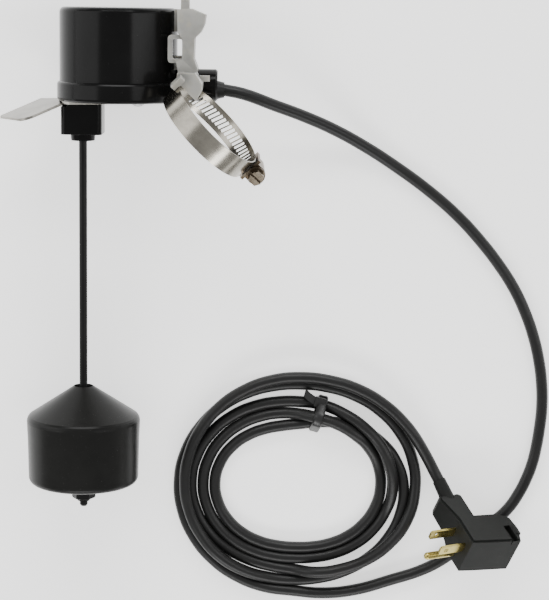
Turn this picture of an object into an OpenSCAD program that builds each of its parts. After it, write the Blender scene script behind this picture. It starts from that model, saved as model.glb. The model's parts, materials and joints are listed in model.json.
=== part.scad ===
// Vertical float switch for a sump pump, with pipe bracket, hose clamp and piggyback plug.
// The switch lies on a table: +Z is up from the table, the float rod runs along Y.
// Origin: on the table, below the middle of the switch without its cord. Millimetres.

/* [Switch housing] */
// Outside diameter of the housing
housing_d = 69; // [66:0.5:70]
// Length of the housing along the rod
housing_h = 54.5; // [52:0.5:58]
// Outside diameter of the rim at the open end
rim_d = 72; // [71:0.5:72]
// Length of the rim
rim_h = 11; // [8:0.5:14]
// Wall thickness of the housing
wall = 2.5; // [2:0.1:3]
// Thickness of the base plate that closes the housing
base_t = 3.5; // [3:0.1:4]

/* [Rod and float] */
// Diameter of the float rod
rod_d = 4.8; // [4:0.1:5]
// Length of rod below the neck
rod_drop = 223; // [200:1:240]
// Travel of the rod that works the switch
rod_travel = 5; // [4:0.5:5]
// Largest diameter of the float
float_d = 68.4; // [60:0.2:70]
// Diameter of the float at its bottom edge
float_bottom_d = 66.4; // [58:0.2:68]
// Height of the float's cone
cone_h = 18.8; // [14:0.2:22]
// Height of the float from the seam to its flat bottom
cup_h = 28; // [24:0.5:32]
// Height from the cone's edge down to the seam
shoulder_h = 13; // [10:0.5:16]
// Wall thickness of the float shells
float_wall = 1.8; // [1.4:0.1:2.4]
// Radial clearance of the float tube and the rod bush on the rod
rod_gap = 0.08; // [0.05:0.01:0.1]

/* [Neck] */
// Width of the square neck block
neck_w = 24; // [22:0.5:25]
// Height of the neck block
neck_h = 18; // [15:0.5:20]
// Diameter of the collar below the neck block
collar_d = 15; // [12:0.5:16]
// Height of the collar
collar_h = 4; // [3:0.5:5]

/* [Mounting plate] */
// Diameter of the stainless cover plate
plate_d = 66.6; // [64:0.2:67]
// Width of the plate's bent tab
tab_w = 32; // [28:1:34]
// Thickness of the stainless plate
plate_t = 1.5; // [1.2:0.1:1.5]
// Length of the bent tab
tab_l = 29.5; // [22:0.5:30]
// Angle of the bent tab below the plate
tab_angle = 20; // [10:1:30]

/* [Hose clamp] */
// Inside diameter of the clamp, closed on a 2 inch pipe
clamp_bore_d = 60.4; // [58:0.1:61]
// Width of the clamp band
band_w = 12.7; // [12:0.1:12.7]
// Thickness of the clamp band
band_t = 0.7; // [0.6:0.05:0.8]
// Number of worm slots in the band
slot_count = 23; // [12:1:23]

/* [Cord] */
// Diameter of the power cord
cord_d = 7.2; // [6.5:0.1:7.6]

/* [Plug] */
// Depth of the plug body from blade face to receptacle face
plug_depth = 37; // [36:0.5:38]
// Length of the flat blades
blade_l = 17.8; // [16:0.1:18.2]
// Length of the ground pin
pin_l = 20.6; // [19:0.1:21.5]

/* [Hidden] */

$fn = 96;
eps = 0.01;
gap = 0.3;

black_gloss = [0.04, 0.04, 0.045];
black_float = [0.07, 0.07, 0.07];
black_rubber = [0.09, 0.09, 0.09];
plug_grey = [0.17, 0.17, 0.165];
nylon = [0.78, 0.76, 0.70];
stainless = [0.72, 0.70, 0.66];
zinc = [0.70, 0.70, 0.70];
brass = [0.80, 0.66, 0.32];
acetal = [0.90, 0.90, 0.86];

// Places of the switch: the rod and housing axes lie at one height above the table.
axis_z = rim_d / 2;
rod_x = -28;
housing_x = rod_x + 21;
base_y = 93.5;
shell_top_y = base_y + housing_h;
plate_y = base_y - plate_t;
neck_y = plate_y - neck_h;
collar_y = neck_y - collar_h;
rod_bottom_y = collar_y - rod_drop;
float_top_y = collar_y - 148;
seam_y = float_top_y - cone_h - shoulder_h;
float_bottom_y = seam_y - cup_h;

// Inside of the housing.
shell_r = housing_d / 2;
inner_r = shell_r - wall;
seat_r = rim_d / 2 - 2.4;
gasket_t = 1.5;
inside_y = base_y + base_t;

// Snap switch and its lever: the lever turns about the pin and rides above the rod.
lever_x = housing_x + 15;
lever_y = base_y + 22;
lever_arm = lever_x - rod_x;
lever_angle = asin(rod_travel / lever_arm);
lever_t = 0.8;
nose_r = 2;
body_y = lever_y + 2.6;
body_size = [28, 16, 10.3];
plunger_x = lever_x - 12;
plunger_d = 3;
rod_top_y = lever_y - rod_travel - 0.5 - nose_r - gap;
spring_top_y = inside_y + 5;
spring_base_y = inside_y + 0.2;

// Cord gland on the right side of the housing.
gland_d = 19;
gland_y = base_y + 9.7;
gland_z = axis_z - 7;
gland_end_x = housing_x + 58;
relief_tip_x = gland_end_x + 4;
relief_l = 26;
exit_y = gland_y - 2.7;
spigot_y = gland_y + 1.6;
spigot_d = 11;
wire_bore_d = 7;
bore_d = cord_d + 0.1;

// Clamp ring: centre, heading of its plane and lean.
ring_c = [48.2, 80.1, 68.7];
ring_heading = -45.4;
ring_lean = 9.6;
band_r = clamp_bore_d / 2;
worm_angle = -15;
worm_r = band_r + band_t + 5.8;
worm_l = 13;
slot_start = -15;
slot_pitch = 5.1;
slot_l = 7.2;
slot_w = 1.7;

// Plug: where its blade face lies and how it leans on the cord under it.
plug_c = [202.2, -172.2, 31.5];
plug_turn = [58, -29.4, 179.3];
blade_gap = 12.7;
pin_drop = 11.9;

// Cord route where it isn't coiled, centre line from the strain relief to the coil.
run_points = [[relief_tip_x, exit_y, gland_z], [66, 98.4, 28.5], [85, 91.6, 24.5], [103, 84.9, 18.7],
    [121.5, 76.7, 12.5], [140, 66.6, 7], [159, 54.6, 3.9], [181, 39, 3.7], [198, 24.6, 3.7],
    [212, 10, 3.7], [224, -4.7, 3.7], [234, -19.5, 3.7], [241.5, -34.3, 3.7], [247.2, -49.3, 3.7],
    [251.2, -64.4, 3.7], [253.6, -79.6, 3.7], [254.3, -95, 3.7], [253.4, -108, 3.7],
    [252, -119, 3.7], [250, -129.5, 3.7], [246.6, -140, 3.7], [241.8, -150.5, 3.7],
    [235.3, -160.5, 3.7], [227, -168.5, 3.7], [217, -176, 3.7], [207.5, -184, 3.7],
    [197.5, -192.5, 3.7], [184, -200.5, 3.7], [163, -208, 3.7], [140, -215, 3.7]];
// Cord from the coil up to the plug.
tail_points = [[163, -99, 10.9], [169, -105, 10.9], [174.5, -112, 10.4], [179.5, -120, 9.2],
    [184.3, -128.5, 8], [188.2, -136, 7.5], [191.1, -141.3, 8.1]];
coil_c = [102.5, -146.5];
coil_outer_r = 77.6;
coil_inner_r = 36;
coil_h = 14.6;
tie_angle = 74.5;

// Points of a smooth route: a Catmull-Rom curve through the hand-chosen points.
function smooth_point(a, b, c, d, t) =
    0.5 * ((2 * b) + (c - a) * t + (2 * a - 5 * b + 4 * c - d) * t * t
    + (3 * b - a - 3 * c + d) * t * t * t);
function smooth_route(p, per) = [
    for (i = [0 : len(p) - 2])
        for (k = [0 : per - 1])
            smooth_point(p[max(i - 1, 0)], p[i], p[i + 1], p[min(i + 2, len(p) - 1)], k / per),
    p[len(p) - 1]];

// Direction of a route at one of its points.
function unit(v) = v / norm(v);
function heading(p, i) = unit(p[min(i + 1, len(p) - 1)] - p[max(i - 1, 0)]);

// One ring of corners around the route; its zero corner stays uppermost.
function ring_at(p, i, r, sides, side) =
    let (h = heading(p, i), across = unit(cross(side, h)), up = cross(h, across))
    [for (k = [0 : sides - 1]) p[i] + r * (cos(360 * k / sides) * up + sin(360 * k / sides) * across)];

// Round tube swept along a route, closed with flat ends.
module swept_tube(points, r, sides = 8, side = [0, 0, 1]) {
    n = len(points);
    corners = [for (i = [0 : n - 1]) each ring_at(points, i, r, sides, side)];
    walls = [for (i = [0 : n - 2]) for (k = [0 : sides - 1])
        let (j = (k + 1) % sides)
        each [[i * sides + k, i * sides + j, (i + 1) * sides + j],
              [i * sides + k, (i + 1) * sides + j, (i + 1) * sides + k]]];
    first = [for (k = [sides - 1 : -1 : 0]) k];
    last = [for (k = [0 : sides - 1]) (n - 1) * sides + k];
    polyhedron(points = corners, faces = concat([first], walls, [last]), convexity = 6);
}

// Stands a shape drawn upwards so that it points along +Y.
module along_y(x, y, z = axis_z) {
    translate([x, y, z]) rotate([-90, 0, 0]) children();
}

// Lays a shape drawn upwards so that it points along +X.
module along_x(x, y, z) {
    translate([x, y, z]) rotate([0, 90, 0]) children();
}

// Frame of the clamp ring: local X along the ring's heading, local Z along the pipe.
module in_ring() {
    translate(ring_c) rotate([0, 0, ring_heading]) rotate([90 + ring_lean, 0, 0]) children();
}

// Frame of the plug: local X along the blades, local Z away from the ground pin.
module in_plug() {
    translate(plug_c) rotate(plug_turn) children();
}

module tube(d_out, d_in, h) {
    difference() {
        cylinder(d = d_out, h = h);
        translate([0, 0, -1]) cylinder(d = d_in, h = h + 2);
    }
}

// Pan-head screw, head below its origin, shank upwards.
module pan_screw(d, l, head_d, head_h) {
    difference() {
        union() {
            cylinder(d = d, h = l);
            rotate_extrude() polygon(concat([[0, 0], [head_d / 2, 0]],
                [for (a = [0 : 15 : 90]) [head_d / 2 * cos(a), -head_h * sin(a)]]));
        }
        translate([-head_d / 2, -0.5, -head_h - 1]) cube([head_d, 1, 1 + head_h * 0.45]);
    }
}

// ---- Housing ----

post_r = 25.5;
post_angles = [35, 145, 215, 325];

// Outline of the housing's wall: open rim at the bottom, rounded top edge.
module shell_outline() {
    edge = 3;
    rim_r = rim_d / 2;
    low = 2.2;
    polygon(concat(
        [[seat_r, 0], [rim_r - low, 0]],
        [for (a = [-60 : 30 : 0]) [rim_r - low + low * cos(a), low + low * sin(a)]],
        [[rim_r, rim_h - 0.8], [rim_r - 0.5, rim_h], [shell_r, rim_h + 0.7]],
        [for (a = [0 : 15 : 90]) [shell_r - edge + edge * cos(a), housing_h - edge + edge * sin(a)]],
        [[0, housing_h], [0, housing_h - wall], [inner_r - 1, housing_h - wall],
         [inner_r, housing_h - wall - 1], [inner_r, base_t + gasket_t], [seat_r, base_t + gasket_t]]));
}

module housing_shell() {
    color(black_gloss) difference() {
        union() {
            along_y(housing_x, base_y) rotate_extrude($fn = 128) shell_outline();
            for (a = post_angles)
                along_y(housing_x + post_r * cos(a), inside_y + gasket_t, axis_z + post_r * sin(a))
                    cylinder(d = 7, h = housing_h - base_t - gasket_t - wall + 0.5, $fn = 32);
        }
        for (a = post_angles)
            along_y(housing_x + post_r * cos(a), inside_y, axis_z + post_r * sin(a))
                cylinder(d = 3, h = 16, $fn = 32);
        along_x(housing_x + 20, spigot_y, gland_z) cylinder(d = spigot_d + 0.1, h = 30, $fn = 64);
        for (y = bracket_screw_y)
            along_x(housing_x + 25, y, axis_z) cylinder(d = 3, h = 20, $fn = 32);
    }
}

module housing_base() {
    color(black_gloss) difference() {
        along_y(housing_x, base_y) cylinder(r = seat_r - 0.1, h = base_t);
        along_y(rod_x, base_y - 1) cylinder(d = 12, h = base_t + 2, $fn = 64);
        for (a = post_angles)
            along_y(housing_x + post_r * cos(a), base_y - 1, axis_z + post_r * sin(a)) {
                cylinder(d = 3.4, h = base_t + 2, $fn = 32);
                cylinder(d = 6.6, h = 2.75, $fn = 32);
            }
        along_y(screw_x, base_y - 1, screw_z) cylinder(d = 4.4, h = base_t + 2, $fn = 32);
        for (x = frame_screw_x)
            along_y(x, base_y + 1.2, axis_z + frame_screw_dz) cylinder(d = 2.6, h = base_t, $fn = 24);
    }
}

module base_gasket() {
    color(black_rubber) along_y(housing_x, base_y + base_t) difference() {
        tube(2 * seat_r - 0.2, 2 * inner_r + 0.6, gasket_t);
    }
}

module base_screws() {
    color(zinc) for (a = post_angles)
        along_y(housing_x + post_r * cos(a), base_y + 1.7, axis_z + post_r * sin(a))
            pan_screw(2.98, 14, 5.6, 1.5, $fn = 32);
}

// ---- Mounting plate ----

screw_x = 3.5;
screw_z = 23;
plate_yaw = 22;
tab_yaw = 35;
tab_root = [-46, 31.5];
tab_corner = 8;

// Frame of the tab's root: local X towards the housing, local Z up along the rod.
module at_tab_root() {
    translate([tab_root[0], plate_y, tab_root[1]]) rotate([-90, 0, 0]) rotate([0, 0, tab_yaw]) children();
}

// Side profile of the bent tab, from the flat plate down to its tip.
module tab_profile() {
    reach = tab_l * cos(tab_angle);
    drop = tab_l * sin(tab_angle);
    polygon([[16, 0], [16, plate_t], [0, plate_t], [-reach, plate_t - drop],
        [-reach + plate_t * sin(tab_angle), plate_t - drop - plate_t * cos(tab_angle)],
        [plate_t * tan(tab_angle / 2), 0]]);
}

// Outline of the tab, with one large and one small rounded corner.
module tab_outline() {
    small = 2.5;
    tip = -tab_l * cos(tab_angle);
    hull() {
        translate([0, -tab_w / 2]) square([20, tab_w]);
        translate([tip + tab_corner, tab_corner - tab_w / 2]) circle(r = tab_corner, $fn = 48);
        translate([tip + small, tab_w / 2 - small]) circle(r = small, $fn = 32);
    }
}

module mounting_plate() {
    color(stainless) difference() {
        union() {
            intersection() {
                along_y(housing_x, plate_y) cylinder(d = plate_d, h = plate_t, $fn = 128);
                along_y(rod_x, plate_y) rotate([0, 0, plate_yaw])
                    translate([-60, -tab_w / 2, 0]) cube([130, tab_w, plate_t]);
            }
            at_tab_root() intersection() {
                translate([0, tab_w / 2, 0]) rotate([90, 0, 0]) linear_extrude(tab_w) tab_profile();
                translate([0, 0, -20]) linear_extrude(30) tab_outline();
            }
        }
        along_y(rod_x, plate_y - 1) cylinder(d = 14, h = plate_t + 2, $fn = 64);
        along_y(screw_x, plate_y - 1, screw_z) cylinder(d = 4.4, h = plate_t + 2, $fn = 32);
    }
}

module plate_screw() {
    color(zinc) along_y(screw_x, plate_y, screw_z) pan_screw(4, 12, 8.4, 2.6);
}

module plate_nut() {
    color(zinc) along_y(screw_x, inside_y, screw_z) difference() {
        cylinder(d = 8.1, h = 3.2, $fn = 6);
        translate([0, 0, -1]) cylinder(d = 4.02, h = 6, $fn = 32);
    }
}

// ---- Neck ----

module neck_block() {
    spigot_d = 13.8;
    bush_d = 9;
    color(black_gloss) difference() {
        union() {
            along_y(rod_x, neck_y) linear_extrude(neck_h - 0.05) offset(r = 3, $fn = 32)
                square(neck_w - 6, center = true);
            along_y(rod_x, collar_y) cylinder(d1 = collar_d - 1, d2 = collar_d, h = collar_h + 1, $fn = 64);
            along_y(rod_x, plate_y - 1) cylinder(d = spigot_d, h = 1 + plate_t - 0.05, $fn = 64);
            along_y(rod_x, plate_y - 1) cylinder(d = 11.9, h = 1 + plate_t + base_t, $fn = 64);
        }
        along_y(rod_x, collar_y - 1) cylinder(d = bush_d, h = 60, $fn = 64);
        translate([rod_x - neck_w / 2 - 1, plate_y - 1.6, axis_z + 3.4]) cube([4.8, 3, 12]);
    }
}

module rod_bush() {
    color(acetal) along_y(rod_x, collar_y + 0.4) tube(9, rod_d + 2 * rod_gap, 14);
}

module rod_wiper() {
    color(black_rubber) along_y(rod_x, collar_y + 14.9) difference() {
        cylinder(d = 9, h = 8, $fn = 64);
        translate([0, 0, -1]) cylinder(d = rod_d + 0.16, h = 12, $fn = 64);
        translate([0, 0, -1]) cylinder(d = 7.2, h = 2.2, $fn = 64);
    }
}

// ---- Rod ----

module float_rod() {
    color(black_gloss) union() {
        along_y(rod_x, rod_bottom_y + 1) cylinder(d = rod_d, h = rod_top_y - rod_bottom_y - 1, $fn = 48);
        along_y(rod_x, rod_bottom_y) cylinder(d1 = rod_d - 1.4, d2 = rod_d, h = 1 + eps, $fn = 48);
    }
}

module rod_collar() {
    color(acetal) along_y(rod_x, spring_top_y) union() {
        tube(12, rod_d, 2.2);
        tube(7, rod_d, 3.2);
    }
}

module rod_end_stop() {
    color(black_gloss) along_y(rod_x, float_bottom_y - gap - 10.4) difference() {
        union() {
            translate([0, 0, 2.4]) cylinder(d = 14.7, h = 8, $fn = 6);
            cylinder(d1 = 8.6, d2 = 12.6, h = 2.4 + eps, $fn = 64);
        }
        translate([0, 0, -1]) cylinder(d = rod_d, h = 20, $fn = 48);
    }
}

module rod_push_nut() {
    color(zinc) along_y(rod_x, float_bottom_y - gap - 11.5) tube(7.2, rod_d, 1, $fn = 48);
}

module return_spring() {
    turns = 3;
    wire_r = 0.5;
    r = 5;
    rise = spring_top_y - spring_base_y - 2 * wire_r - 0.2;
    coil = [for (a = [0 : 20 : 360 * turns])
        [r * cos(a), r * sin(a), wire_r + 0.1 + rise * a / (360 * turns)]];
    color(stainless) along_y(rod_x, spring_base_y) swept_tube(coil, wire_r, 6);
}

// ---- Float ----

recess_d = 11.4;
tube_d = 8.4;

// Outer half profile of the float from its cone down to the seam, from the axis outwards.
module cone_half_outline(shrink) {
    r = float_d / 2;
    blend = 5;
    slope = atan2(cone_h, r - recess_d / 2);
    foot = blend * tan((90 - slope) / 2);
    seam_r = r - 0.5;
    top = cone_h + shoulder_h;
    polygon(concat(
        [[0, 0], [seam_r - shrink, 0], [r - shrink, shoulder_h - foot]],
        [for (a = [15 : 15 : 90 - slope]) [r - blend + (blend - shrink) * cos(a),
            shoulder_h - foot + (blend - shrink) * sin(a)]],
        [[recess_d / 2, top - shrink / cos(slope)], [0, top - shrink / cos(slope)]]));
}

module float_cone_half() {
    color(black_float) along_y(rod_x, seam_y) difference() {
        rotate_extrude($fn = 128) cone_half_outline(0);
        intersection() {
            rotate_extrude($fn = 128) cone_half_outline(float_wall);
            translate([0, 0, -1]) cylinder(d = float_d, h = cone_h + shoulder_h - 4.4);
        }
        translate([0, 0, -1]) cylinder(d = tube_d, h = 60, $fn = 64);
        translate([0, 0, cone_h + shoulder_h - 2.2]) cylinder(d = recess_d, h = 5, $fn = 64);
    }
}

// Half profile of the float's cup below the seam.
module cup_outline(shrink) {
    edge = 4;
    top_r = float_d / 2 - 0.5;
    low_r = float_bottom_d / 2;
    polygon(concat(
        [[0, -shrink], [top_r - shrink, -shrink]],
        [for (a = [0 : 15 : 90]) [low_r - edge + (edge - shrink) * cos(a),
            -cup_h + edge - (edge - shrink) * sin(a)]],
        [[0, -cup_h + shrink]]));
}

module float_cup_half() {
    color(black_float) along_y(rod_x, seam_y) difference() {
        rotate_extrude($fn = 128) cup_outline(0);
        translate([0, 0, 0]) rotate_extrude($fn = 128) cup_outline(float_wall);
        translate([0, 0, -float_wall - 1]) cylinder(d = float_d - 1 - 2 * float_wall - 0.4, h = 5);
        translate([0, 0, -cup_h - 1]) cylinder(d = tube_d, h = 60, $fn = 64);
    }
}

module float_tube() {
    h = cup_h + shoulder_h + cone_h - 2.2;
    color(acetal) along_y(rod_x, float_bottom_y) tube(tube_d, rod_d + 2 * rod_gap, h, $fn = 64);
}

// ---- Snap switch ----

frame_screw_x = [lever_x + 5.5, lever_x + 11];
frame_screw_dz = 9;
frame_t = 1.5;
body_x = lever_x - 25;
body_z = axis_z - body_size[2] / 2;
screw_holes = [[body_x + 3, body_y + 3], [body_x + 25, body_y + 13]];

// Sheet frame that stands on the base beside the switch body.
module switch_frame() {
    side_z = body_z + body_size[2];
    color(stainless) difference() {
        union() {
            translate([body_x, inside_y, side_z]) cube([38, body_y + body_size[1] - inside_y, frame_t]);
            translate([lever_x + 2, inside_y, side_z]) cube([12, frame_t, 7.6]);
        }
        translate([body_x - 1, inside_y - 1, side_z - 1]) cube([24, body_y - inside_y - 3, 5]);
        for (p = screw_holes)
            translate([p[0], p[1], side_z - 1]) cylinder(d = 3.2, h = 5, $fn = 32);
        for (x = frame_screw_x)
            along_y(x, inside_y - 1, axis_z + frame_screw_dz) cylinder(d = 2.8, h = 5, $fn = 24);
        translate([body_x + 24, lever_y - 6, side_z - 1]) cube([5, 12, 5]);
    }
}

module frame_screws() {
    color(zinc) for (x = frame_screw_x)
        translate([x, inside_y + frame_t, axis_z + frame_screw_dz]) rotate([90, 0, 0])
            pan_screw(2.58, 3.6, 4.2, 1.4, $fn = 24);
}

module switch_body() {
    color([0.12, 0.12, 0.13]) difference() {
        union() {
            translate([body_x, body_y, body_z]) cube(body_size);
            for (z = [body_z, body_z + body_size[2] - 1.6])
                translate([lever_x - 2.2, lever_y - 2, z]) cube([4.4, 5, 1.6]);
        }
        along_y(plunger_x, body_y - 1) cylinder(d = plunger_d + 0.1, h = 7, $fn = 32);
        translate([lever_x, lever_y, body_z - 1]) cylinder(d = 1.6, h = 14, $fn = 32);
        for (p = screw_holes)
            translate([p[0], p[1], body_z - 1]) cylinder(d = 3, h = 14, $fn = 32);
    }
}

module switch_screws() {
    color(zinc) for (p = screw_holes)
        translate([p[0], p[1], body_z]) pan_screw(2.98, body_size[2] + frame_t + 0.8, 5, 1.6, $fn = 32);
}

module switch_plunger() {
    tip_y = lever_y - 12 * tan(lever_angle) + lever_t / 2 / cos(lever_angle) + gap;
    color([0.75, 0.10, 0.08]) along_y(plunger_x, tip_y) union() {
        translate([0, 0, 0.6]) cylinder(d = plunger_d, h = 5, $fn = 32);
        cylinder(d1 = plunger_d - 1, d2 = plunger_d, h = 0.6 + eps, $fn = 32);
    }
}

module switch_lever() {
    w = 5;
    color(stainless) translate([lever_x, lever_y, axis_z]) rotate([0, 0, lever_angle])
        difference() {
            union() {
                translate([-lever_arm - 2.5, -lever_t / 2, -w / 2]) cube([lever_arm + 2.5, lever_t, w]);
                translate([0, 0, -w / 2 - 0.6]) cylinder(d = 3.2, h = w + 1.2, $fn = 32);
                translate([-lever_arm, -0.5, -w / 2]) cylinder(r = nose_r, h = w, $fn = 32);
            }
            translate([0, 0, -w]) cylinder(d = 1.64, h = 2 * w, $fn = 32);
        }
}

module lever_pin() {
    color(zinc) translate([lever_x, lever_y, body_z - 0.4]) cylinder(d = 1.5, h = body_size[2] + 0.8, $fn = 32);
}

terminal_x = [body_x + 4, body_x + 14, body_x + 24];
terminal_y = body_y + body_size[1];

module switch_terminals() {
    color(brass) for (x = terminal_x)
        translate([x - 2.4, terminal_y - 1.4, axis_z - 0.4]) difference() {
            cube([4.8, 8.4, 0.8]);
            translate([2.4, 6.4, -1]) cylinder(d = 1.6, h = 3, $fn = 24);
        }
}

module lead_wires() {
    colours = [[0.08, 0.08, 0.08], [0.88, 0.88, 0.86]];
    ends = [terminal_x[0], terminal_x[2]];
    for (i = [0, 1])
        color(colours[i]) swept_tube(smooth_route([
            [relief_tip_x - relief_l - 1, spigot_y + 2.2 * (i - 0.5), gland_z],
            [housing_x + 28, spigot_y + 2.2 * (i - 0.5), gland_z],
            [housing_x + 17, spigot_y + 2 + 3 * i, gland_z - 3],
            [housing_x + 17 - 4 * i, base_y + 26, axis_z - 12],
            [housing_x + 12 - 6 * i, terminal_y + 2, axis_z - 11 + 2 * i],
            [ends[i] + 4, terminal_y + 5, axis_z - 6],
            [ends[i], terminal_y + 5, axis_z - 1.7]], 3), 1.2, 8);
}

// ---- Cord entry ----

module cord_gland() {
    color(black_gloss) difference() {
        union() {
            along_x(housing_x + shell_r - 3.2, gland_y, gland_z)
                cylinder(d = gland_d, h = gland_end_x - housing_x - shell_r + 2.2, $fn = 96);
            along_x(gland_end_x - 1 - eps, gland_y, gland_z) cylinder(d1 = gland_d, d2 = gland_d - 2, h = 1 + eps, $fn = 96);
        }
        along_y(housing_x, base_y - 5) cylinder(r = shell_r + eps, h = 40);
        along_y(housing_x, base_y - 5) cylinder(r = rim_d / 2 + eps, h = 5 + rim_h);
        along_x(relief_tip_x - relief_l - 0.5, exit_y, gland_z) cylinder(d = 9.2, h = 60, $fn = 64);
        along_x(housing_x + 15, spigot_y, gland_z) cylinder(d = wire_bore_d, h = 30, $fn = 48);
    }
    color(black_gloss) difference() {
        along_x(housing_x + 24.6, spigot_y, gland_z) cylinder(d = spigot_d, h = 16, $fn = 64);
        along_x(relief_tip_x - relief_l - 0.5, exit_y, gland_z) cylinder(d = 9.2, h = 60, $fn = 64);
        along_x(housing_x + 15, spigot_y, gland_z) cylinder(d = wire_bore_d, h = 30, $fn = 48);
    }
}

module gland_nut() {
    color(black_gloss) along_x(housing_x + 24.8, spigot_y, gland_z) difference() {
        cylinder(d = 15.6, h = 3, $fn = 6);
        translate([0, 0, -1]) cylinder(d = spigot_d + 0.02, h = 6, $fn = 64);
    }
}

// Tapered rubber sleeve around the cord where it leaves the gland.
module strain_relief() {
    color(black_rubber) along_x(relief_tip_x - relief_l, exit_y, gland_z) difference() {
        union() {
            cylinder(d = 9.2, h = relief_l - 4, $fn = 64);
            translate([0, 0, relief_l - 4 - eps]) cylinder(d1 = 11, d2 = 9, h = 4 + eps, $fn = 64);
        }
        translate([0, 0, -1]) cylinder(d = bore_d, h = relief_l + 2, $fn = 64);
    }
}

// ---- Pipe bracket and hose clamp ----

bracket_screw_y = [base_y + 23, base_y + 45];
saddle_x = housing_x + shell_r;
arm_low = 45;
arm_high = 63;

// Plan outline of the bracket's head, ear, stem and flare.
module arm_outline() {
    polygon([[28.6, 147.4], [36.6, 148], [45, 144.6], [44.4, 139.4], [42.3, 134.8], [38.7, 131.3],
        [38.4, 119.5], [40.6, 113.8], [39.6, 111.2], [29.6, 110.6], [28.2, 117.6], [31.6, 119.4],
        [31.6, 131], [29, 134]]);
}

// Plan outline of the block that holds the band.
module block_outline() {
    polygon([[29.6, 112], [39.6, 112], [43.4, 106], [43, 101.5], [39.5, 94.6], [34.5, 94.6],
        [29.8, 101.5], [28.6, 105.5]]);
}

// Strap loop at the side of the stem.
module loop_outline() {
    difference() {
        translate([25.2, 119]) offset(r = 2, $fn = 24) square([8, 12]);
        translate([26.8, 120.4]) offset(r = 1, $fn = 24) square([3.6, 9.2]);
    }
}

module pipe_bracket() {
    color(nylon) difference() {
        union() {
            translate([0, 0, arm_low]) linear_extrude(arm_high - arm_low) arm_outline();
            translate([0, 0, arm_low + 4]) linear_extrude(arm_high - arm_low + 8) block_outline();
            translate([0, 0, 53]) linear_extrude(7) loop_outline();
            translate([30.5, 146, 50]) cube([4.8, 7.4, 9]);
            for (y = bracket_screw_y)
                translate([housing_x + 25, y - 4, axis_z - 8]) cube([15, 8, arm_low - axis_z + 9]);
            translate([housing_x + 25, bracket_screw_y[1], arm_low - 4]) cube([14, 9, 5]);
            translate([41, 106.4, arm_low + 5]) cube([6, 3.4, 3.4]);
            in_ring() rotate([0, 0, 162]) rotate_extrude(angle = 26, $fn = 96)
                translate([band_r + band_t, -11]) square([3.3, 8]);
        }
        along_y(housing_x, base_y - 5) cylinder(r = shell_r + eps, h = 100);
        along_y(housing_x, base_y - 5) cylinder(r = rim_d / 2 + 0.3, h = 5 + rim_h + 1);
        along_x(0, gland_y, gland_z) cylinder(d = gland_d + 0.8, h = 60, $fn = 64);
        in_ring() translate([0, 0, -band_w / 2 - 0.3])
            cylinder(r = band_r + band_t + 0.3, h = 90, $fn = 128);
        for (y = bracket_screw_y) {
            along_x(saddle_x - 1, y, axis_z) cylinder(d = 3.4, h = 20, $fn = 32);
            along_x(saddle_x + 3, y, axis_z) cylinder(d = 6.6, h = 20, $fn = 32);
        }
    }
}

module bracket_screws() {
    color(zinc) for (y = bracket_screw_y)
        translate([saddle_x + 3, y, axis_z]) rotate([0, -90, 0]) pan_screw(2.98, 11, 6, 1.9, $fn = 32);
}

module clamp_band() {
    color(stainless) in_ring() difference() {
        union() {
            translate([0, 0, -band_w / 2]) tube(2 * (band_r + band_t), 2 * band_r, band_w, $fn = 128);
        }
        for (k = [0 : slot_count - 1])
            rotate([0, 0, slot_start - slot_pitch * k]) rotate([18, 0, 0])
                translate([band_r - 2, -slot_w / 2, -slot_l / 2]) cube([6, slot_w, slot_l]);
    }
}

// Frame of the worm: local Z along the screw, towards its head.
module in_worm() {
    in_ring() rotate([0, 0, worm_angle]) translate([worm_r, 0, 0]) rotate([-90, 0, 0]) children();
}

module worm_housing() {
    half = band_w / 2 + 1.2;
    color(stainless) difference() {
        in_worm() union() {
            translate([0, 0, -worm_l / 2]) difference() {
                cylinder(r = 5.6, h = worm_l, $fn = 64);
                translate([-12, -8, -1]) cube([12, 16, worm_l + 2]);
            }
            translate([-5, -5.6, -worm_l / 2]) cube([5 + eps, 11.2, worm_l]);
            translate([-5.2, -half, -worm_l / 2]) cube([1.9, 2 * half, worm_l]);
        }
        in_worm() translate([0, 0, -20]) cylinder(r = 4.7, h = 40, $fn = 64);
        in_ring() cylinder(r = band_r + band_t, h = 40, center = true);
    }
}

module clamp_screw() {
    flats = 7.9;
    color(zinc) in_worm() difference() {
        union() {
            translate([0, 0, -worm_l / 2 - 1]) cylinder(r = 3.7, h = worm_l + 2.6, $fn = 48);
            for (k = [0 : 4]) translate([0, 0, -worm_l / 2 + 1.2 + 2.2 * k])
                rotate_extrude($fn = 48) polygon([[3, 0], [4.5, 0.45], [4.5, 0.85], [3, 1.3]]);
            translate([0, 0, worm_l / 2 + gap]) cylinder(r = 5.4, h = 1.2, $fn = 48);
            translate([0, 0, worm_l / 2 + gap + 1.1]) cylinder(d = flats / cos(30), h = 4.6, $fn = 6);
        }
        translate([-6, -0.6, worm_l / 2 + 4]) cube([12, 1.2, 4]);
    }
}

// ---- Cord ----

module cord_run() {
    color(black_rubber) swept_tube(smooth_route(run_points, 2), cord_d / 2, 10);
}

module cord_coil() {
    low = 0.1;
    edge = 3;
    color(black_rubber) translate([coil_c[0], coil_c[1], low]) rotate_extrude($fn = 96)
        polygon([[coil_inner_r, 0], [coil_outer_r, 0], [coil_outer_r, coil_h - edge],
            [coil_outer_r - edge, coil_h], [coil_inner_r + edge, coil_h], [coil_inner_r, coil_h - edge]]);
}

module cord_tail() {
    color(black_rubber) swept_tube(smooth_route(tail_points, 2), cord_d / 2, 10);
}

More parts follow.
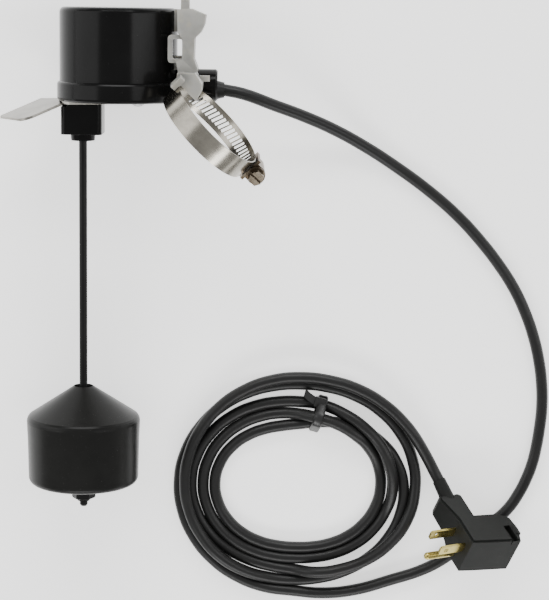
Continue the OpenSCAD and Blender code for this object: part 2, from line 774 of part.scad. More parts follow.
// Cable tie around the coil, with its lock block.
module cord_tie() {
    w = 9;
    t = 1.2;
    color(black_rubber) translate([coil_c[0], coil_c[1], coil_h + 0.1]) rotate([0, 0, tie_angle]) {
        translate([coil_inner_r + 3, -w / 2, 0]) cube([24, w, t]);
        translate([coil_outer_r - 14.6, -w / 2 - 1, 0]) cube([6, 7, 4.6]);
    }
}

// ---- Plug ----

// Outline of the plug seen from its flat top: blade face at x = 0, arm at the low end.
module plug_outline() {
    polygon([[0, 11.6], [0, -8], [4.2, -25], [3, -27.6], [-10.8, -28], [-12.8, -26], [-12.8, -9.4],
        [-29.6, -8], [-36.6, -3.4], [-37.8, 6], [-34, 15.6], [-10, 13]]);
}

// Outline of the plug seen from its end: thin arm at the left, full body at the right.
module plug_side() {
    polygon([[-30, -2], [-16, -7], [-9.5, -12], [-6, -15.6], [4.7, -plug_low], [20, -plug_low],
        [20, plug_high], [-30, plug_high]]);
}

plug_low = 17.4;
plug_high = 10.6;
rear_t = 5;
rear_face = plug_depth;
entry = plug_c + [-5.5, 20, -19];
entry_turn = [-110, 0, 27];

// Frame of the cord's entry: local Z out along the cord.
module in_entry() {
    translate(entry) rotate(entry_turn) children();
}

// Solid of the plug between two depths, with its long edges stepped in by a set amount.
module plug_solid(from, to, edge) {
    intersection() {
        translate([0, 0, -30]) linear_extrude(60) intersection() {
            plug_outline();
            translate([from, -40]) square([to - from, 80]);
        }
        translate([-60, 0, 0]) rotate([90, 0, 90]) linear_extrude(90) plug_side();
        union() {
            translate([-60, -60, -plug_low + edge]) cube([90, 90, plug_low + plug_high - 2 * edge]);
            translate([0, 0, -plug_low]) linear_extrude(plug_low + plug_high)
                offset(delta = -edge) plug_outline();
        }
    }
}

module plug_body() {
    color(plug_grey) difference() {
        plug_shell();
        in_entry() translate([0, 0, -7.1]) cylinder(d = 9.7, h = 20, $fn = 48);
        in_entry() translate([0, 0, -18]) cylinder(d = bore_d, h = 20, $fn = 48);
    }
}

module plug_shell() {
    in_plug() difference() {
        plug_solid(-rear_face + rear_t, 10, 1.2);
        for (s = [-1, 1]) translate([-11.2, s * blade_gap / 2 - 0.78, -3.3]) cube([20, 1.56, 6.6]);
        translate([-11.2, 0, -pin_drop]) rotate([0, 90, 0]) cylinder(d = 4.2, h = 30, $fn = 48);
        for (s = [-1, 1]) translate([-rear_face + rear_t - eps, s * blade_gap / 2 - 2.2, -4]) cube([9, 4.4, 8]);
        translate([-rear_face + rear_t - 1, 3, 6.6]) cube([5.4, 12, 10]);
        translate([-rear_face + rear_t - eps, 0, -pin_drop + 1]) rotate([0, 90, 0]) cylinder(d = 7, h = 9, $fn = 48);
    }
}

// Receptacle face on the back of the plug, with its two slots and ground hole.
module plug_rear() {
    color(plug_grey) in_plug() difference() {
        union() {
            plug_solid(-60, -rear_face + rear_t - 0.05, 1.2);
            translate([-rear_face + 2.5, 3.4, 9.2]) rotate([-90, 0, 0]) cylinder(d = 4.8, h = 6.8, $fn = 32);
        }
        for (s = [-1, 1]) translate([-60, s * blade_gap / 2 - 1, -3.6]) cube([40, 2, 7.2]);
        translate([-60, 0, -pin_drop + 1]) rotate([0, 90, 0]) cylinder(r = 2.6, h = 40, $fn = 48);
    }
}

// Tapered sleeve where the cord enters the plug's arm.
module plug_sleeve() {
    l = 20;
    color(plug_grey) in_entry() translate([0, 0, -7]) difference() {
        cylinder(d1 = 9.6, d2 = 8.2, h = l, $fn = 48);
        translate([0, 0, -1]) cylinder(d = bore_d, h = l + 2, $fn = 48);
    }
}

module plug_blades() {
    w = 6.35;
    t = 1.5;
    color(brass) in_plug() for (s = [-1, 1]) translate([0, s * blade_gap / 2 - t / 2, 0]) difference() {
        union() {
            translate([-11, 0, -w / 2]) cube([11 + blade_l - 1.5, t, w]);
            translate([blade_l - 1.5 - eps, 0, -w / 2 + 1.4]) cube([1.5 + eps, t, w - 2.8]);
            for (q = [-1, 1]) translate([blade_l - 1.5, t, q * (w / 2 - 1.5)])
                rotate([90, 0, 0]) cylinder(r = 1.5, h = t, $fn = 24);
        }
        translate([blade_l - 4.6, 3, 0]) rotate([90, 0, 0]) cylinder(d = 3.2, h = 6, $fn = 32);
    }
}

module ground_pin() {
    r = 2.38;
    color(brass) in_plug() translate([0, 0, -pin_drop]) rotate([0, 90, 0]) union() {
        translate([0, 0, 0.05]) cylinder(r = r, h = pin_l - r - 0.05, $fn = 48);
        translate([0, 0, -11]) cylinder(r = r - 0.3, h = 12, $fn = 48);
        translate([0, 0, pin_l - r]) rotate_extrude($fn = 48) polygon(concat([[0, -eps]],
            [for (a = [0 : 15 : 90]) [r * cos(a), r * sin(a)]]));
    }
}

module socket_contacts() {
    color(brass) in_plug() {
        for (s = [-1, 1]) for (q = [-1, 1])
            translate([-rear_face + rear_t + 0.2, s * blade_gap / 2 + q * 1.5 - 0.3, -3.4]) cube([7, 0.6, 6.8]);
        translate([-rear_face + rear_t + 0.2, 0, -pin_drop + 1]) rotate([0, 90, 0]) tube(6.4, 5.2, 7, $fn = 48);
    }
}

housing_shell();
housing_base();
base_gasket();
base_screws();
mounting_plate();
plate_screw();
plate_nut();
neck_block();
rod_bush();
rod_wiper();
float_rod();
rod_collar();
rod_end_stop();
rod_push_nut();
return_spring();
float_cone_half();
float_cup_half();
float_tube();
switch_frame();
frame_screws();
switch_body();
switch_screws();
switch_plunger();
switch_lever();
lever_pin();
switch_terminals();
lead_wires();
cord_gland();
gland_nut();
strain_relief();
pipe_bracket();
bracket_screws();
clamp_band();
worm_housing();
clamp_screw();
cord_run();
cord_coil();
cord_tail();
cord_tie();
plug_body();
plug_rear();
plug_sleeve();
plug_blades();
ground_pin();
socket_contacts();
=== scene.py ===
"""Looks of a float switch with its pipe bracket, hose clamp, cord and piggyback plug."""
import bmesh
import bpy
import json
import math
from mathutils import Matrix, Vector


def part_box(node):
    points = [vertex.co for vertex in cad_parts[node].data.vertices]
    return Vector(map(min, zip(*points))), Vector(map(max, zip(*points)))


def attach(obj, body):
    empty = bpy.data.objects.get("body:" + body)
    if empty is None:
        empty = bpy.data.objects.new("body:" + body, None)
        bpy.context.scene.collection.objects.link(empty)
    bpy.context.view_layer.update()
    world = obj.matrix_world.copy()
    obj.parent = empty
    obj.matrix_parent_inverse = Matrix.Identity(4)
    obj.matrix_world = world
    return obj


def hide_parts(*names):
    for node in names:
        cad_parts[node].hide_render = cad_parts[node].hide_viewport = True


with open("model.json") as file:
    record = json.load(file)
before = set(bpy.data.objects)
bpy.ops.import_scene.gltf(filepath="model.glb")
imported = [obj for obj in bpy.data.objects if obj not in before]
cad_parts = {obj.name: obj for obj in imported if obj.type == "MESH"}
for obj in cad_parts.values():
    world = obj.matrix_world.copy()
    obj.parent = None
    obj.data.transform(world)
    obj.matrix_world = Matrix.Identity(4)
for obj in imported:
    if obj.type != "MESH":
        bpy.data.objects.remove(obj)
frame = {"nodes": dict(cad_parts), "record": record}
nodes = frame["nodes"]
frame_body = {node: body for body, members in frame["record"]["behaviour"]["bodies"].items()
              for node in members}
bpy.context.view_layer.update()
MM = 0.001


# ---- Camera ----

CAMERA_AT = (0.0866, 0.15515, 1.1)
CAMERA_TILT = math.radians(9.55)
CAMERA_ROLL = math.radians(0.9)


def make_camera():
    """Camera that looks down at the table, tilted towards the float and rolled a little."""
    ahead = Vector((0, -math.sin(CAMERA_TILT), -math.cos(CAMERA_TILT)))
    level_right = Vector((1, 0, 0))
    level_up = Vector((0, math.cos(CAMERA_TILT), -math.sin(CAMERA_TILT)))
    right = math.cos(CAMERA_ROLL) * level_right + math.sin(CAMERA_ROLL) * level_up
    up = math.cos(CAMERA_ROLL) * level_up - math.sin(CAMERA_ROLL) * level_right
    data = bpy.data.cameras.new("camera")
    data.lens = 108
    data.sensor_width = 36
    data.clip_start = 0.05
    data.clip_end = 20
    cam = bpy.data.objects.new("camera", data)
    bpy.context.scene.collection.objects.link(cam)
    turn = Matrix((right, up, -ahead)).transposed().to_4x4()
    cam.matrix_world = Matrix.Translation(CAMERA_AT) @ turn
    bpy.context.scene.camera = cam


make_camera()


# ---- Materials ----

# Noise scales shared by the plastics: mottling, uneven gloss and dust specks.
CLOUD_SCALE, SHINE_SCALE, DUST_SCALE = 38, 120, 1500


def principled(name, colour, rough, metallic=0.0, **constants):
    """A new node material; constants are set on the shader's own sockets."""
    mat = bpy.data.materials.new(name)
    mat.use_nodes = True
    tree = mat.node_tree
    shader = tree.nodes["Principled BSDF"]
    shader.inputs["Base Color"].default_value = (*colour, 1)
    shader.inputs["Roughness"].default_value = rough
    shader.inputs["Metallic"].default_value = metallic
    for key, value in constants.items():
        shader.inputs[key.replace("_", " ")].default_value = value
    return mat, tree, shader


def place(tree, stretch=(1, 1, 1)):
    """Object coordinates, stretched for a grain that runs one way."""
    coords = tree.nodes.new("ShaderNodeTexCoord")
    mapping = tree.nodes.new("ShaderNodeMapping")
    mapping.inputs["Scale"].default_value = stretch
    tree.links.new(coords.outputs["Object"], mapping.inputs["Vector"])
    return mapping.outputs["Vector"]


def noise(tree, where, scale, detail=4.0, rough=0.6):
    node = tree.nodes.new("ShaderNodeTexNoise")
    node.inputs["Scale"].default_value = scale
    node.inputs["Detail"].default_value = detail
    node.inputs["Roughness"].default_value = rough
    tree.links.new(where, node.inputs["Vector"])
    return node.outputs["Fac"]


def ramp(tree, value, stops):
    """Colour ramp of (position, grey or colour) stops."""
    node = tree.nodes.new("ShaderNodeValToRGB")
    while len(node.color_ramp.elements) < len(stops):
        node.color_ramp.elements.new(0.5)
    for element, (at, colour) in zip(node.color_ramp.elements, stops):
        element.position = at
        c = colour if isinstance(colour, tuple) else (colour,) * 3
        element.color = (*c, 1)
    tree.links.new(value, node.inputs["Fac"])
    return node.outputs["Color"]


def mix(tree, factor, a, b, mode="MIX"):
    """Mix of two colours; each of factor, a and b is a socket or a constant."""
    node = tree.nodes.new("ShaderNodeMix")
    node.data_type = "RGBA"
    node.blend_type = mode
    for key, value in (("Factor", factor), ("A", a), ("B", b)):
        socket = node.inputs[key]
        if isinstance(value, bpy.types.NodeSocket):
            tree.links.new(value, socket)
        else:
            socket.default_value = value if isinstance(value, float) else (*value, 1)
    return node.outputs["Result"]


def bump(tree, shader, height, strength, distance):
    node = tree.nodes.new("ShaderNodeBump")
    node.inputs["Strength"].default_value = strength
    node.inputs["Distance"].default_value = distance
    tree.links.new(height, node.inputs["Height"])
    tree.links.new(node.outputs["Normal"], shader.inputs["Normal"])


def edge_wear(tree):
    """Bright where the mesh is convex, for rubbed edges."""
    geometry = tree.nodes.new("ShaderNodeNewGeometry")
    return ramp(tree, geometry.outputs["Pointiness"], [(0.52, 0.0), (0.60, 1.0)])


def plastic(name, dark, light, rough=(0.2, 0.35), grain=900, bump_mm=0.02, specks=None, **constants):
    """Moulded plastic or rubber: mottled colour, rubbed edges, uneven gloss and a fine moulded grain."""
    mat, tree, shader = principled(name, dark, rough[0], **constants)
    where = place(tree)
    cloud = noise(tree, where, CLOUD_SCALE, 5)
    fine = noise(tree, where, grain, 3)
    colour = mix(tree, cloud, dark, light)
    worn = tuple(min(1.0, 1.5 * c + 0.012) for c in light)
    rubbed = mix(tree, ramp(tree, cloud, [(0.45, 0.0), (0.7, 0.6)]), (0, 0, 0), edge_wear(tree), "MULTIPLY")
    colour = mix(tree, rubbed, colour, worn)
    if specks:
        dust = ramp(tree, noise(tree, where, DUST_SCALE, 1.5), [(0.735, 0.0), (0.77, 1.0)])
        colour = mix(tree, dust, colour, specks)
    tree.links.new(colour, shader.inputs["Base Color"])
    shine = mix(tree, noise(tree, where, SHINE_SCALE, 6), (rough[0],) * 3, (rough[1],) * 3)
    tree.links.new(shine, shader.inputs["Roughness"])
    bump(tree, shader, mix(tree, 0.35, fine, cloud), 0.35, bump_mm * MM)
    return mat


def metal(name, dark, light, rough=(0.22, 0.4), stretch=(1, 1, 1), bump_mm=0.01, stain=None,
          grained=0.25):
    """Rolled or turned metal: drawn grain, smudges, and dull spots."""
    mat, tree, shader = principled(name, light, rough[0], 1.0)
    along = place(tree, stretch)
    even = place(tree)
    grain = noise(tree, along, 260, 3, 0.45)
    smudge = noise(tree, even, 55, 4)
    colour = mix(tree, ramp(tree, smudge, [(0.35, 0.0), (0.7, 1.0)]), dark, light)
    colour = mix(tree, grained, colour, ramp(tree, grain, [(0.3, 0.25), (0.7, 1.0)]), "MULTIPLY")
    if stain:
        spots = ramp(tree, noise(tree, even, 210, 3), [(0.58, 0.0), (0.68, 0.8)])
        colour = mix(tree, spots, colour, stain)
    tree.links.new(colour, shader.inputs["Base Color"])
    shine = mix(tree, mix(tree, 0.5, grain, smudge), (rough[0],) * 3, (rough[1],) * 3)
    tree.links.new(shine, shader.inputs["Roughness"])
    bump(tree, shader, grain, 0.3, bump_mm * MM)
    return mat


def nylon_material():
    """Cloudy natural nylon, yellowed in places, with a painted glow of light coming through its thinner,
    convex edges.
    """
    mat, tree, shader = principled(
        "frosted_nylon", (0.62, 0.61, 0.56), 0.42, IOR=1.53,
        Subsurface_Weight=0.35, Subsurface_Scale=0.004, Transmission_Weight=0.12)
    shader.inputs["Subsurface Radius"].default_value = (1.0, 0.9, 0.75)
    where = place(tree)
    cloud = noise(tree, where, 60, 4)
    clear = ramp(tree, cloud, [(0.35, 0.0), (0.65, 1.0)])
    colour = mix(tree, clear, (0.21, 0.21, 0.197), (0.355, 0.35, 0.322))
    yellow = ramp(tree, noise(tree, where, 95, 3), [(0.56, 0.0), (0.70, 0.55)])
    colour = mix(tree, yellow, colour, (0.36, 0.32, 0.21))
    geometry = tree.nodes.new("ShaderNodeNewGeometry")
    # Painted glow: convex edges, where the nylon is thinner, are lightened to stand in for light shining
    # through it.
    painted_edge_glow = ramp(tree, geometry.outputs["Pointiness"], [(0.50, 0.0), (0.58, 0.4)])
    colour = mix(tree, painted_edge_glow, colour, (0.60, 0.59, 0.55))
    tree.links.new(colour, shader.inputs["Base Color"])
    shine = mix(tree, noise(tree, where, 150, 5), (0.34,) * 3, (0.55,) * 3)
    tree.links.new(shine, shader.inputs["Roughness"])
    bump(tree, shader, noise(tree, where, 700, 4), 0.25, 0.03 * MM)
    return mat


gloss = plastic("housing_black", (0.003, 0.003, 0.003), (0.007, 0.007, 0.007), (0.14, 0.24), 1100, 0.010,
                specks=(0.03, 0.03, 0.03), Specular_IOR_Level=0.11)
float_black = plastic("float_black", (0.006, 0.006, 0.0057), (0.015, 0.015, 0.0142), (0.24, 0.36), 800,
                      0.025, specks=(0.07, 0.07, 0.068), Specular_IOR_Level=0.11)
rod_black = plastic("rod_black", (0.004, 0.004, 0.004), (0.010, 0.010, 0.010), (0.3, 0.42), 900, 0.02,
                    Specular_IOR_Level=0.2)
rubber = plastic("cord_rubber", (0.006, 0.006, 0.006), (0.015, 0.015, 0.0145), (0.34, 0.46), 1400, 0.03,
                 Specular_IOR_Level=0.3)
plug_grey = plastic("plug_vinyl", (0.008, 0.0085, 0.0078), (0.017, 0.018, 0.0165), (0.45, 0.6), 1300, 0.05,
                    specks=(0.05, 0.05, 0.048), Specular_IOR_Level=0.15)
tie_black = plastic("tie_nylon", (0.006, 0.006, 0.006), (0.017, 0.017, 0.017), (0.3, 0.45), 900, 0.03)
phenolic = plastic("switch_case", (0.012, 0.012, 0.014), (0.028, 0.028, 0.032), (0.35, 0.5), 900, 0.03)
acetal = plastic("acetal_white", (0.66, 0.66, 0.62), (0.80, 0.80, 0.76), (0.35, 0.5), 700, 0.03)
red_button = plastic("button_red", (0.42, 0.02, 0.015), (0.62, 0.04, 0.03), (0.3, 0.42), 800, 0.02)
white_wire = plastic("wire_white", (0.62, 0.62, 0.60), (0.78, 0.78, 0.76), (0.4, 0.55), 800, 0.03)
nylon = nylon_material()
sheet_steel = metal("plate_steel", (0.26, 0.25, 0.225), (0.42, 0.405, 0.37), (0.24, 0.38), (0.25, 4, 4))
band_steel = metal("band_steel", (0.25, 0.235, 0.20), (0.42, 0.395, 0.34), (0.16, 0.26), (0.5, 0.5, 0.2),
                   0.003, grained=0.1)
worm_steel = metal("worm_steel", (0.14, 0.105, 0.07), (0.42, 0.37, 0.29), (0.2, 0.34),
                   stain=(0.12, 0.07, 0.03))
zinc = metal("zinc_plate", (0.46, 0.46, 0.46), (0.66, 0.66, 0.67), (0.26, 0.42))
spring = metal("spring_steel", (0.42, 0.42, 0.42), (0.60, 0.60, 0.60), (0.2, 0.34))
brass = metal("brass", (0.42, 0.34, 0.10), (0.64, 0.54, 0.20), (0.2, 0.36), stain=(0.36, 0.28, 0.08))

LOOKS = {
    gloss: ("housing_shell", "housing_base", "neck_block", "rod_end_stop", "cord_gland", "gland_nut"),
    float_black: ("float_cone_half", "float_cup_half"),
    rod_black: ("float_rod", "rod_push_nut"),
    rubber: ("base_gasket", "rod_wiper", "strain_relief", "cord_run", "cord_coil", "cord_tail"),
    plug_grey: ("plug_body", "plug_rear", "plug_sleeve"),
    tie_black: ("cord_tie",),
    phenolic: ("switch_body",),
    acetal: ("rod_bush", "rod_collar", "float_tube"),
    red_button: ("switch_plunger",),
    nylon: ("pipe_bracket",),
    sheet_steel: ("mounting_plate", "switch_frame", "switch_lever"),
    band_steel: ("clamp_band",),
    worm_steel: ("worm_housing", "clamp_screw"),
    zinc: ("base_screws", "plate_screw", "plate_nut", "frame_screws", "switch_screws", "lever_pin",
           "bracket_screws"),
    spring: ("return_spring",),
    brass: ("plug_blades", "ground_pin", "socket_contacts", "switch_terminals"),
}


for material, names in LOOKS.items():
    for name in names:
        for slot in nodes[name].material_slots:
            slot.material = material
for k, slot in enumerate(nodes["lead_wires"].material_slots):
    slot.material = white_wire if k else rubber


# ---- Shapes ----

SHARP_ANGLE = 32


def new_object(name, mesh, material, body="switch"):
    obj = bpy.data.objects.new(name, mesh)
    bpy.context.scene.collection.objects.link(obj)
    mesh.materials.clear()
    mesh.materials.append(material)
    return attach(obj, body)


def smooth(mesh, angle=35):
    mesh.polygons.foreach_set("use_smooth", [True] * len(mesh.polygons))
    mesh.set_sharp_from_angle(angle=math.radians(angle))


def apply_modifiers(obj):
    final = obj.evaluated_get(bpy.context.evaluated_depsgraph_get())
    done = bpy.data.meshes.new_from_object(final)
    obj.modifiers.clear()
    obj.data = done


def moulded(node, name, material, body, width):
    """A CAD solid's own shape with its hard edges rounded, shown in its place."""
    mesh = nodes[node].data.copy()
    bm = bmesh.new()
    bm.from_mesh(mesh)
    bmesh.ops.remove_doubles(bm, verts=bm.verts, dist=0.00001)
    bmesh.ops.dissolve_limit(bm, angle_limit=math.radians(1.5), verts=bm.verts, edges=bm.edges)
    bm.to_mesh(mesh)
    bm.free()
    if mesh.attributes.get("custom_normal"):
        mesh.attributes.remove(mesh.attributes["custom_normal"])
    smooth(mesh, SHARP_ANGLE)
    obj = new_object(name, mesh, material, body)
    rounding = obj.modifiers.new("round", "BEVEL")
    rounding.width = width * MM
    rounding.segments = 2
    rounding.limit_method = "ANGLE"
    rounding.angle_limit = math.radians(SHARP_ANGLE)
    rounding.harden_normals = True
    rounding.miter_outer = "MITER_ARC"
    bpy.context.view_layer.update()
    apply_modifiers(obj)
    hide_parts(node)
    return obj


def rounded_mesh(name, bm, sharp, width):
    """Finish a bmesh: faces outward, edges that turn by more than sharp radians rounded, shading smooth."""
    bmesh.ops.recalc_face_normals(bm, faces=bm.faces)
    bmesh.ops.bevel(bm, geom=[e for e in bm.edges if e.calc_face_angle(0) > sharp], offset=width * MM,
                    segments=2, affect="EDGES", clamp_overlap=True)
    mesh = bpy.data.meshes.new(name)
    bm.to_mesh(mesh)
    bm.free()
    smooth(mesh)
    return mesh


# ---- Cord ----

# Route of the cord's centre line in mm, from the gland to the coil and from the coil to the plug.
RUN = [(55, 100.5, 29), (66, 98.4, 28.5), (85, 91.6, 24.5), (103, 84.9, 18.7), (121.5, 76.7, 12.5),
       (140, 66.6, 7), (159, 54.6, 3.9), (181, 39, 3.7), (198, 24.6, 3.7), (212, 10, 3.7), (224, -4.7, 3.7),
       (234, -19.5, 3.7), (241.5, -34.3, 3.7), (247.2, -49.3, 3.7), (251.2, -64.4, 3.7), (253.6, -79.6, 3.7),
       (254.3, -95, 3.7), (253.4, -108, 3.7), (252, -119, 3.7), (250, -129.5, 3.7), (246.6, -140, 3.7),
       (241.8, -150.5, 3.7), (235.3, -160.5, 3.7), (227, -168.5, 3.7), (217, -176, 3.7), (207.5, -184, 3.7),
       (197.5, -192.5, 3.7), (184, -200.5, 3.7), (163, -208, 3.7)]
TAIL = [(169, -105, 10.9), (174.5, -112, 10.4), (179.5, -120, 9.2), (184.3, -128.5, 8), (188.2, -136, 7.5),
        (191.1, -141.3, 8.1), (193.9, -146.7, 10.3)]
COIL_AT = (102.5, -146.5)
# Radius of the coil's centre line at each angle, clockwise from the bottom.
TURNS = [(-28.7, 78.1), (-14, 73), (0, 69.5), (90, 74), (180, 64.4), (270, 74.2),
         (360, 55.1), (450, 66.5), (540, 53.3), (630, 59.8), (720, 48), (810, 59), (900, 46), (990, 52.6),
         (1080, 41), (1170, 51.5), (1260, 39), (1350, 67), (1440, 62.3), (1530, 70), (1620, 70.1),
         (1640, 71.5), (1655, 74), (1672, 77)]
# Where a turn climbs over the one beside it, and comes down again.
HUMPS = [(262, 285, 345, 368), (560, 580, 622, 645), (892, 915, 948, 972), (1445, 1490, 9000, 9001)]
LOW, HIGH = 3.7, 10.9


def turn_radius(a):
    """Radius of the coil's centre line at an angle, smooth through TURNS."""
    i = max(k for k in range(len(TURNS) - 1) if TURNS[k][0] <= a)
    (a0, r0), (a1, r1) = TURNS[i], TURNS[i + 1]
    before = TURNS[max(i - 1, 0)]
    after = TURNS[min(i + 2, len(TURNS) - 1)]
    m0 = (r1 - before[1]) / (a1 - before[0])
    m1 = (after[1] - r0) / (after[0] - a0)
    t, w = (a - a0) / (a1 - a0), a1 - a0
    return (r0 * (2 * t**3 - 3 * t**2 + 1) + m0 * w * (t**3 - 2 * t**2 + t)
            + r1 * (3 * t**2 - 2 * t**3) + m1 * w * (t**3 - t**2))


def rise(a):
    """Height of the coil's centre line at an angle."""
    def step(lo, hi):
        t = min(max((a - lo) / (hi - lo), 0), 1)
        return t * t * (3 - 2 * t)
    return LOW + (HIGH - LOW) * max(step(h[0], h[1]) - step(h[2], h[3]) for h in HUMPS)


def coil_points(step=15):
    out, a = [], TURNS[0][0]
    while a < TURNS[-1][0] - 5:
        r, p = turn_radius(a), math.radians(a)
        out.append((COIL_AT[0] - r * math.sin(p), COIL_AT[1] - r * math.cos(p), rise(a)))
        a += step
    return out


def bezier(name, points, radius, material, body="switch"):
    curve = bpy.data.curves.new(name, "CURVE")
    curve.dimensions = "3D"
    curve.bevel_depth = radius
    curve.bevel_resolution = 8
    curve.resolution_u = 5
    curve.use_fill_caps = True
    spline = curve.splines.new("BEZIER")
    spline.bezier_points.add(len(points) - 1)
    for knot, point in zip(spline.bezier_points, points):
        knot.co = Vector(point) * MM
        knot.handle_left_type = knot.handle_right_type = "AUTO"
    curve.materials.append(material)
    obj = bpy.data.objects.new(name, curve)
    bpy.context.scene.collection.objects.link(obj)
    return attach(obj, body)


route = [(50, 101.4, 29)] + RUN + coil_points() + TAIL
cord = bezier("power_cord", route, 3.6 * MM, rubber)
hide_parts("cord_run", "cord_coil", "cord_tail")


# ---- Cable tie ----

def hull(points):
    """Corners of the convex outline round flat points, counter-clockwise."""
    points = sorted(points)

    def turns_right(a, b, c):
        return (b[0] - a[0]) * (c[1] - a[1]) - (b[1] - a[1]) * (c[0] - a[0]) <= 0

    def half(run):
        out = []
        for p in run:
            while len(out) > 1 and turns_right(out[-2], out[-1], p):
                out.pop()
            out.append(p)
        return out[:-1]
    return half(points) + half(points[::-1])


def make_tie(turn=195.5, width=6.4, thick=1.1):
    """Nylon strap drawn round the inner turns, with its lock and its cut tail."""
    p = math.radians(turn)
    out_dir = Vector((-math.sin(p), -math.cos(p), 0))
    side = Vector((out_dir.y, -out_dir.x, 0))
    middle = Vector((*COIL_AT, 0))

    def at(outward, sideways, height):
        return (middle + out_dir * outward + Vector((0, 0, height)) + side * sideways) * MM

    inner_turns = [(turn_radius(a), rise(a)) for a in range(0, 1650)
                   if a % 360 == int(turn) and turn_radius(a) < 60]
    angles = [math.radians(k) for k in range(0, 360, 10)]
    rim = hull([(r + 5.2 * math.cos(k), max(z + 3.9 * math.sin(k), 1.2))
                for r, z in inner_turns for k in angles])
    bm = bmesh.new()
    # Across the strap's width and up through its thickness, with a raised edge on each side.
    profile = [(-0.5, 0), (-0.34, 1), (-0.2, 0.8), (0.2, 0.8), (0.34, 1), (0.5, 0)]
    rings = []
    for i, (r, z) in enumerate(rim):
        before, after = Vector(rim[i - 1]), Vector(rim[(i + 1) % len(rim)])
        along = (after - before).normalized()
        normal = Vector((along.y, -along.x))
        ring = []
        for across, up in profile:
            outward, height = Vector((r, z)) + normal * thick * up
            ring.append(bm.verts.new(at(outward, across * width, height)))
        rings.append(ring)
    for i in range(len(rings)):
        a, b = rings[i], rings[(i + 1) % len(rings)]
        for k in range(len(profile)):
            j = (k + 1) % len(profile)
            bm.faces.new((a[k], a[j], b[j], b[k]))
    lock_r = max(r for r, _ in rim) - 3.2
    top = max(z for r, z in rim if r > lock_r - 2) + thick
    lock_long, lock_wide, lock_high = 6.2, 6.8, 3.4
    for v in bmesh.ops.create_cube(bm, size=1)["verts"]:
        v.co = at(lock_r + lock_long * v.co.x, -1.5 + lock_wide * v.co.y, top + 0.8 + lock_high * v.co.z)
    # The tail's middle line: sideways, outward and up from the lock.
    tail = [(-2, 0, 0.4), (-6, 0.6, 0.9), (-9.5, 2, 1.6), (-12.5, 3.8, 1.8)]
    strip = []
    for sideways, outward, height in tail:
        for across in (-0.5, 0.5):
            for up in (0, thick):
                strip.append(bm.verts.new(at(lock_r + outward + across * width * 0.8, sideways,
                                             top + height + up)))
    for i in range(len(tail) - 1):
        a, b = strip[4 * i:4 * i + 4], strip[4 * i + 4:4 * i + 8]
        for k, j in ((0, 1), (1, 3), (3, 2), (2, 0)):
            bm.faces.new((a[k], a[j], b[j], b[k]))
    bm.faces.new((strip[0], strip[2], strip[3], strip[1]))
    bm.faces.new((strip[-4], strip[-3], strip[-1], strip[-2]))
    mesh = rounded_mesh("coil_tie", bm, sharp=0.6, width=0.25)
    obj = new_object("coil_tie", mesh, tie_black)
    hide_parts("cord_tie")
    return obj


tie = make_tie()


# ---- Moulded pieces ----

# CAD node, name of its rounded copy, material, record slot and width of the rounding in mm.
MOULDED = [("pipe_bracket", "bracket_moulding", nylon, "nylon", 0.5),
           ("neck_block", "neck_moulding", gloss, "housing_gloss", 0.5),
           ("plug_body", "plug_moulding", plug_grey, "plug_grey", 0.35),
           ("plug_rear", "plug_back", plug_grey, "plug_grey", 0.35),
           ("mounting_plate", "cover_plate", sheet_steel, "stainless", 0.25),
           ("worm_housing", "worm_case", worm_steel, "stainless", 0.4)]
for node, name, material, slot, width in MOULDED:
    moulded(node, name, material, frame_body[node], width)


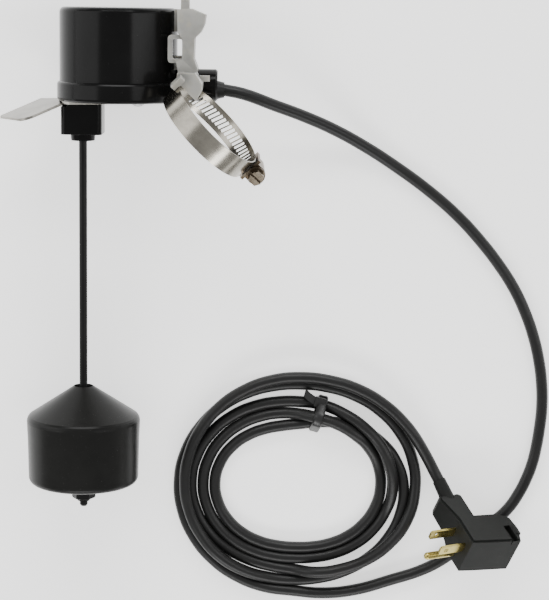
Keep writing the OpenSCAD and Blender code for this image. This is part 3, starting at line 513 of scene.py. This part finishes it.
def make_end_stop(bore=2.4, foot=0.9, foot_inset=2.2):
    """Hexagonal stop with a chamfered foot, round the rod's end."""
    low, high = (Vector(c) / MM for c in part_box("rod_end_stop"))
    middle = (low + high) / 2
    r = (high.x - low.x) / 2
    bore_corner = bore / math.cos(math.pi / 6)
    profile = [(bore_corner, high.y), (r, high.y), (r, low.y + foot), (r - foot_inset, low.y),
               (bore_corner, low.y)]
    bm = bmesh.new()
    rings = []
    for k in range(6):
        x, z = math.cos(math.radians(60 * k)), math.sin(math.radians(60 * k))
        rings.append([bm.verts.new(Vector((middle.x + x * radius, y, middle.z + z * radius)) * MM)
                      for radius, y in profile])
    for k in range(6):
        a, b = rings[k], rings[(k + 1) % 6]
        for i in range(len(profile)):
            j = (i + 1) % len(profile)
            bm.faces.new((a[i], a[j], b[j], b[i]))
    mesh = rounded_mesh("end_stop", bm, sharp=0.4, width=0.35)
    obj = new_object("end_stop", mesh, rod_black, frame_body["rod_end_stop"])
    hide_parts("rod_end_stop")


make_end_stop()


# ---- Floor and light ----

def stage_floor():
    """Plain pale table top."""
    mat, tree, shader = principled("floor_white", (0.95, 0.95, 0.95), 0.9, Emission_Strength=1.0)
    shader.inputs["Emission Color"].default_value = (1, 1, 0.995, 1)
    tint = mix(tree, noise(tree, place(tree), 2, 2), (0.94, 0.94, 0.935), (0.96, 0.96, 0.955))
    tree.links.new(tint, shader.inputs["Base Color"])
    bm = bmesh.new()
    bmesh.ops.create_grid(bm, x_segments=1, y_segments=1, size=3)
    mesh = bpy.data.meshes.new("floor")
    bm.to_mesh(mesh)
    bm.free()
    mesh.materials.append(mat)
    floor = bpy.data.objects.new("floor", mesh)
    bpy.context.scene.collection.objects.link(floor)


def area_light(name, at, aim, size, power):
    data = bpy.data.lights.new(name, "AREA")
    data.shape = "RECTANGLE"
    data.size, data.size_y = size
    data.energy = power
    light = bpy.data.objects.new(name, data)
    light.location = at
    light.rotation_euler = (Vector(aim) - Vector(at)).to_track_quat("-Z", "Y").to_euler()
    bpy.context.scene.collection.objects.link(light)


def stage_light():
    """Pale surroundings and a soft box on each side."""
    world = bpy.data.worlds.new("studio")
    world.use_nodes = True
    world.node_tree.nodes["Background"].inputs["Color"].default_value = (1, 1, 1, 1)
    world.node_tree.nodes["Background"].inputs["Strength"].default_value = 0.5
    bpy.context.scene.world = world
    area_light("left_box", (-1.5, 0.35, 0.9), (0.05, 0, 0.0), (1.1, 1.8), 15)
    area_light("right_box", (1.5, 0.25, 1.1), (0.05, 0, 0.0), (0.4, 1.7), 9)
    area_light("back_box", (0.05, 1.7, 1.1), (0.08, 0, 0), (1.8, 0.6), 30)
    area_light("front_box", (0.05, -1.6, 1.1), (0.08, 0, 0), (1.8, 0.5), 26)


stage_floor()
stage_light()

# ---- Close ----

bpy.context.view_layer.update()
